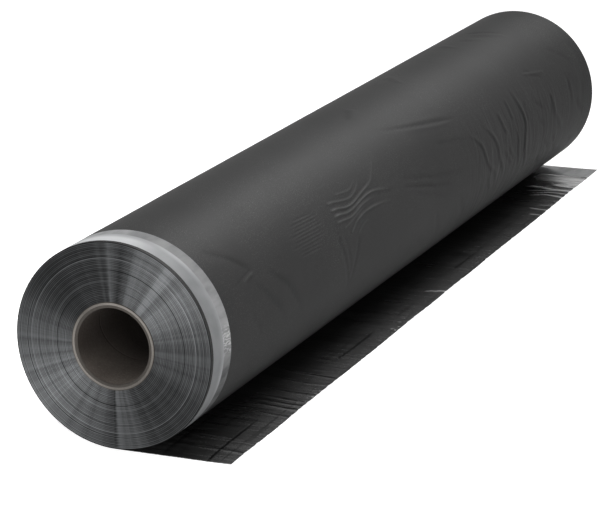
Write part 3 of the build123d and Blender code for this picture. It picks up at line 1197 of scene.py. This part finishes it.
# The near edge of the loose end catches the light in specks
loose_cut = paint.times(paint.remap(across, 0.016, 0.024), paint.remap(up, -0.1034, -0.1024, 1.0, 0.0))
specks = paint.remap(paint.noise(place, 260.0, 2.0), 0.45, 0.60, 0.15, 1.0)
tone = paint.tint(tone, grey(0.50), paint.times(loose_cut, specks))
turn_ends = paint.finish({
    "Base Color": tone,
    "Roughness": paint.remap(sectors, 0, 1, 0.56, 0.50),
    "Metallic": 0.9,
    "Anisotropic": 0.90,
    "Anisotropic Rotation": 0.25,
    "Tangent": paint.put("Tangent", direction_type="RADIAL", axis="Y").outputs[0],
    "Normal": paint.bump(turns["Height"], 0.15, 0.0002),
})

# %% [markdown]
# The film is built now that its three finishes are there. The crease marks go with its points, and
# the finishes read them by name.

# %% The film itself
film = build("wound_film", film_points, faces, [outer_face, inner_face, turn_ends], kinds)
marks = film.data.attributes.new(CREASE_MARK, "FLOAT", "POINT")
marks.data.foreach_set("value", film_marks.astype(np.float32))
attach(film, "root")
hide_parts("film_roll")

# %% [markdown]
# ## The adhesive strips
#
# Each strip is adhesive under a thin milky release film. On the near strip the release film ends short
# of the strip's inner edge, which leaves a smooth wide zone, a bright edge and a crinkled narrow zone
# where the dark sheet shows through. A strip is a thin closed shell between an upper and a lower table
# of points.


# %% A thin shell
def shell(upper, lower):
    """Points and faces of a closed shell between two tables of points of the same size."""
    rows, columns = upper.shape[:2]
    top = np.arange(rows * columns).reshape(rows, columns)
    low = top + rows * columns
    border = np.concatenate([top[0, :-1], top[:-1, -1], top[-1, :0:-1], top[:0:-1, 0]])
    under = border + rows * columns
    rim = np.stack([border, under, np.roll(under, -1), np.roll(border, -1)], -1).tolist()
    faces = grid_faces(top) + [face[::-1] for face in grid_faces(low)] + rim
    return np.concatenate([upper.reshape(-1, 3), lower.reshape(-1, 3)]), faces


# %% [markdown]
# The release film's finish has the milky wide zone, a painted highlight along the edge where the film ends,
# and the thin narrow zone. The two lists of levels say by angle round the roll how much painted shade
# darkens the narrow zone and how bright the painted highlight on the edge is. High on the roll a painted
# highlight makes the wide zone white. Low on the side the sheet shows through the narrow zone, with a band
# of torn specks above that.

# %% The release film's finish
RELEASE_LEVEL = 0.196
LINER_EDGE = 28.0
THIN_LEVELS = [(0, 1.0), (25, 1.0), (45, 0.7), (60, 0.55), (75, 0.7), (90, 1.0), (360, 1.0)]
LINE_LEVELS = [(0, 0.1), (35, 0.05), (50, 0.15), (75, 0.05), (330, 0.05), (345, 0.2), (360, 0.1)]
paint = Paint("strip_release_film")
across, along, up = paint.split(paint.place())
angle = paint.angle(across, up)
share = paint.turn_share(across, up)


def by_angle(start, end, *levels, smooth=True):
    """A mask that changes between two angles, given in degrees."""
    return paint.remap(angle, math.radians(start), math.radians(end), *levels, smooth=smooth)


off_edge = paint.minus(along, (NEAR_END + LINER_EDGE) * MM)
inner_zone = paint.remap(off_edge, -0.0006, 0.0006)
cloud = paint.use(haze, Scale=30.0, Stretch=1.0)["Mask"]
patches = paint.use(haze, Scale=95.0, Stretch=0.25)["Mask"]
milky = paint.blend(cloud, grey(RELEASE_LEVEL * 0.88, -0.03), grey(RELEASE_LEVEL * 1.12, -0.02))
thin = paint.blend(patches, grey(0.190, -0.02), grey(0.268, -0.01))
sheet_shows = paint.times(by_angle(-15, 3, 1.0, 0.0), paint.remap(patches, 0, 1, 1.0, 0.72))
thin = paint.tint(thin, grey(0.055, -0.03), sheet_shows)
# Painted shade darkens the narrow zone high on the roll, by THIN_LEVELS
thin = paint.blend(paint.levels(share, THIN_LEVELS), grey(0.0), thin)
tone = paint.blend(inner_zone, milky, thin)
far_tone = paint.blend(patches, grey(0.22, -0.01), grey(0.30, -0.01))
tone = paint.tint(tone, far_tone, along, 0.0, 0.1, 0.0, 0.85)
# Painted highlight whitens the wide zone high on the roll
painted_top_highlight = paint.times(by_angle(62, 84, 0.0, 0.42), by_angle(98, 135, 1.0, 0.2))
painted_top_highlight = paint.times(painted_top_highlight, paint.minus(1.0, inner_zone))
painted_top_highlight = paint.times(painted_top_highlight, paint.remap(off_edge, -0.012, -0.001, 1.0, 0.25, smooth=True))
tone = paint.tint(tone, grey(0.85, -0.01), painted_top_highlight)
torn = paint.times(by_angle(-5, -1, smooth=False), by_angle(9, 14, 1.0, 0.0, smooth=False))
torn_specks = paint.drawn_out(along, 90.0, up, 260.0, 3.0, Distortion=1.5)
torn = paint.times(paint.times(torn, inner_zone), paint.remap(torn_specks, 0.46, 0.58, 0.0, 0.6))
tone = paint.tint(tone, grey(0.55), torn)
# A painted highlight along the edge where the release film ends, as bright by angle as LINE_LEVELS says
edge_line = paint.times(paint.remap(off_edge, -0.0090, -0.0004, smooth=True),
                        paint.remap(off_edge, 0.0002, 0.0014, 1.0, 0.0, smooth=True))
tone = paint.tint(tone, grey(0.80, -0.01), paint.times(edge_line, paint.levels(share, LINE_LEVELS)))
ripple = paint.use(fine_crinkle, Scale=70.0, Stretch=0.5, Sharpness=0.5)["Height"]
release_film = paint.finish({
    "Base Color": tone,
    "Roughness": paint.remap(cloud, 0, 1, 0.42, 0.52),
    "Specular IOR Level": 0.03,
    "Normal": paint.bump(ripple, 0.35, 0.0010),
})

# %% [markdown]
# The near strip lies on the outer face, so it goes round the roll and on under the loose end. It
# follows the film's own relief. Small buckles cross its narrow zone, and the release film stands a
# tenth of a millimetre proud up to its edge.

# %% The near strip
BUCKLES = 46
HIGHEST_BUCKLE = 0.35
LINER_THICKNESS = 0.10
strip_lines = spaced(STRIP_START, (9, 2.0), (27.4, 3.0), (LINER_EDGE, 0.6), (28.6, 0.6), (44, 1.6),
                     (STRIP_END, 1.0))
strip_round = spaced(-87.5, (-50, 2.5), (-25, 1.5), (45, 0.9), (125, 2.0), (262, 3.0), (UNDER_AXIS, 2.0))
strip_out = spaced(0.0, (36, 9.0), (116, 4.0), (LOOSE_NEAR, 2.0)) / LOOSE_NEAR
strip_along, strip_degrees = np.meshgrid(strip_lines, strip_round, indexing="ij")
on_film = over(outer_turn_height, strip_along, strip_degrees)
crinkle_draw = np.random.default_rng(23)
buckles = np.zeros(strip_along.size)
strip_sheet = np.stack([strip_along.ravel(), arc(strip_degrees.ravel())], 1)
# Each buckle has a place round the roll, a tilt, a start and an end, a height and a width
for _ in range(BUCKLES):
    level = crinkle_draw.uniform(-22, 60)
    tilt = crinkle_draw.normal(-3.0, 3.0)
    start = crinkle_draw.uniform(28.5, 33)
    end = crinkle_draw.uniform(38, 46)
    low = arc(level)
    line = [(start, low), ((start + end) / 2, low + tilt / 2), (end, low + tilt)]
    height = crinkle_draw.uniform(0.10, 0.26)
    buckles += crease(strip_sheet, line, height, crinkle_draw.uniform(1.0, 1.8))
buckles = np.clip(buckles.reshape(strip_along.shape), 0, HIGHEST_BUCKLE)
liner = LINER_THICKNESS * np.clip((LINER_EDGE + 0.3 - strip_along) / 0.6, 0, 1)
stands = (buckles + liner) * off_floor(strip_degrees)
round_upper = on_roll(strip_along, strip_degrees, on_film + stands)
round_lower = on_roll(strip_along, strip_degrees, on_film - STRIP_THICKNESS)
flat_along, flat_out = np.meshgrid(strip_lines, strip_out[1:], indexing="ij")
flat_out = flat_out * loose_length(flat_along)
flat_upper = on_floor(flat_along, flat_out, over(loose_lift, flat_along, flat_out))
flat_lower = flat_upper + np.array([0, 0, STRIP_THICKNESS])
upper = np.concatenate([round_upper, flat_upper], 1)
lower = np.concatenate([round_lower, flat_lower], 1)
near_strip = build("near_release_strip", *shell(upper, lower), [release_film])
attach(near_strip, "root")
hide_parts("adhesive_strip_outer")

# %% [markdown]
# The far strip lies on the inner face, so it shows only on top of the loose end, from the nip out to
# the cut edge. From the nip inward the turns hide it.

# %% The far strip
# The strip itself starts a little further out
FAR_NIP = 15.6
far_lines = spaced(FAR_STRIP_START, (FAR_STRIP_END, 2.5))
far_out = spaced(FAR_NIP, (40, 5.0), (108, 3.0), (LOOSE_FAR, 1.5))
far_along, far_place = np.meshgrid(far_lines, far_out, indexing="ij")
reach = (loose_length(far_along) - FAR_NIP) / (LOOSE_FAR - FAR_NIP)
far_place = FAR_NIP + (far_place - FAR_NIP) * reach
far_upper = on_floor(far_along, far_place, over(loose_lift, far_along, far_place) + FILM_THICKNESS)
far_lower = far_upper - np.array([0, 0, STRIP_THICKNESS])
far_strip = build("far_release_strip", *shell(far_upper, far_lower), [release_film])
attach(far_strip, "root")
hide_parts("adhesive_strip_inner")

# %% [markdown]
# ## The core
#
# A cardboard core is wound from strips of board in a spiral and glued. Its cut end is pale and shows the
# plies as fine rings, its bore is a warm grey-brown with the seams of the inner ply running round it in a
# spiral, and its inner edge is pressed to a bevel. Painted light keeps the low side of the bore near its
# ends pale, and painted shade darkens the rest of the bore. CUT_LIT_LEVELS gives by angle the painted shade
# on the cut, and painted shade darkens the bevel.

# %% The board of the wall
SEAM_LEAD = 0.110
paint = Paint("core_wall_board")
place = paint.place()
across, along, up = paint.split(place)
turned = paint.step("DIVIDE", paint.angle(across, up), 2 * math.pi)
climb = paint.step("FRACT", paint.minus(paint.step("DIVIDE", along, SEAM_LEAD), turned))
seam = paint.remap(paint.step("ABSOLUTE", paint.minus(climb, 0.5)), 0.004, 0.014, 1.0, 0.0)
cloud = paint.use(haze, Scale=38.0, Stretch=0.7)["Mask"]
fibres = paint.noise(place, 420.0, 4.0)
flecks = paint.use(dust, Amount=0.5, Fineness=700.0)["Mask"]
tone = paint.blend(cloud, (0.086, 0.073, 0.063, 1), (0.130, 0.112, 0.098, 1))
tone = paint.tint(tone, (0.078, 0.065, 0.055, 1), fibres, 0.35, 0.65, 0.0, 0.5)
tone = paint.tint(tone, (0.20, 0.175, 0.15, 1), flecks)
# The seam between the turns of the inner ply
tone = paint.tint(tone, (0.045, 0.037, 0.031, 1), paint.times(seam, 0.45))
# Painted shade darkens the bore, except where painted light keeps its low side near the ends pale
near_ends = paint.remap(paint.step("ABSOLUTE", along), 0.500, 0.596)
lit_low_side = paint.remap(up, -0.036, -0.004, 1.0, 0.16, smooth=True)
tone = paint.blend(paint.times(near_ends, lit_low_side), (0.016, 0.012, 0.010, 1), tone)
wall_board = paint.finish({
    "Base Color": tone,
    "Roughness": paint.remap(fibres, 0.3, 0.7, 0.72, 0.92),
    "Specular IOR Level": 0.25,
    "Normal": paint.bump(paint.minus(paint.times(fibres, 0.4), seam), 0.5, 0.0006),
})

# %% The cut board
CUT_LIT_LEVELS = [(0, 0.7), (45, 1.0), (90, 0.95), (112, 0.6), (135, 0.3), (158, 0.7), (180, 0.9), (225, 1.0),
                (250, 0.75), (270, 0.5), (315, 0.35), (340, 0.5), (360, 0.7)]
paint = Paint("core_cut_board")
place = paint.place()
across, along, up = paint.split(place)
radius = paint.radius(across, up)
cut_lit = paint.levels(paint.turn_share(across, up), CUT_LIT_LEVELS)
plies = paint.use(turn_edges, Pitch=0.0011, Ring=0.0412, Streaks=0.6)
fibres = paint.noise(place, 600.0, 3.0)
tone = paint.blend(plies["Lines"], (0.15, 0.138, 0.126, 1), (0.24, 0.223, 0.205, 1))
tone = paint.tint(tone, (0.13, 0.117, 0.104, 1), fibres, 0.4, 0.7, 0.0, 0.4)
# Painted shade darkens the bevel and, by angle, parts of the cut, and a dark line of painted shade in the
# gap parts the core from the film
tone = paint.tint(tone, (0.030, 0.025, 0.021, 1), radius, 0.0410, 0.0414, 0.9, 0.0, smooth=True)
tone = paint.blend(cut_lit, (0.035, 0.031, 0.027, 1), tone)
tone = paint.tint(tone, (0.03, 0.026, 0.022, 1), radius, 0.0433, 0.0436, 0.0, 0.95)
cut_board = paint.finish({
    "Base Color": tone,
    "Roughness": paint.remap(fibres, 0.3, 0.7, 0.7, 0.9),
    "Specular IOR Level": 0.3,
    "Normal": paint.bump(plies["Height"], 0.5, 0.0004),
})

# %% [markdown]
# The tube is a profile turned about the axis: the bevel, the plies with their fine steps and a little
# roughness from the saw, and the bore.

# %% The tube
BEVEL = 1.3
AROUND_CORE = 128
SAW_ROUGHNESS = 0.05
WALL, CUT = 0, 1
PLIES = [(39.4, 0.0), (40.5, 0.06), (40.7, -0.14), (41.9, -0.02), (42.1, -0.16), (43.2, 0.05), (43.4, -0.12),
         (CORE_OUTER, 0.0)]
half_length = FILM_WIDTH / 2
near_profile = [(CORE_INNER, BEVEL), (CORE_INNER + 0.35, 0.75), (CORE_INNER + 0.8, 0.3)] + PLIES
bore_steps = np.linspace(half_length - BEVEL, BEVEL - half_length, 13)[1:-1]
profile = [(radius, -half_length + depth) for radius, depth in near_profile]
profile += [(radius, half_length - depth) for radius, depth in near_profile[::-1]]
profile += [(CORE_INNER, y) for y in bore_steps]
core_draw = np.random.default_rng(3)
core_angles = np.linspace(0, 2 * math.pi, AROUND_CORE, endpoint=False)
core_points = []
for radius, y in profile:
    y_row = np.full(AROUND_CORE, y)
    if CORE_INNER + 1 < radius < CORE_OUTER - 0.3:
        y_row -= SAW_ROUGHNESS * core_draw.normal(0, 1, AROUND_CORE) * np.sign(y)
    core_points.append(np.stack([radius * np.cos(core_angles), y_row, radius * np.sin(core_angles)], -1))
core_numbers = np.arange(len(profile) * AROUND_CORE).reshape(len(profile), AROUND_CORE)
core_numbers = np.concatenate([core_numbers, core_numbers[:1]])
core_faces = grid_faces(core_numbers, closed=True)
PROFILE_CUT = len(near_profile) - 1
core_kinds = []
for row in range(len(profile)):
    near_cut = row < PROFILE_CUT
    far_cut = PROFILE_CUT < row < 2 * PROFILE_CUT + 1
    core_kinds += [CUT if near_cut or far_cut else WALL] * AROUND_CORE
core_points = np.concatenate(core_points)
core = build("cardboard_core", core_points, core_faces, [wall_board, cut_board], core_kinds)
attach(core, "root")
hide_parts("core_tube")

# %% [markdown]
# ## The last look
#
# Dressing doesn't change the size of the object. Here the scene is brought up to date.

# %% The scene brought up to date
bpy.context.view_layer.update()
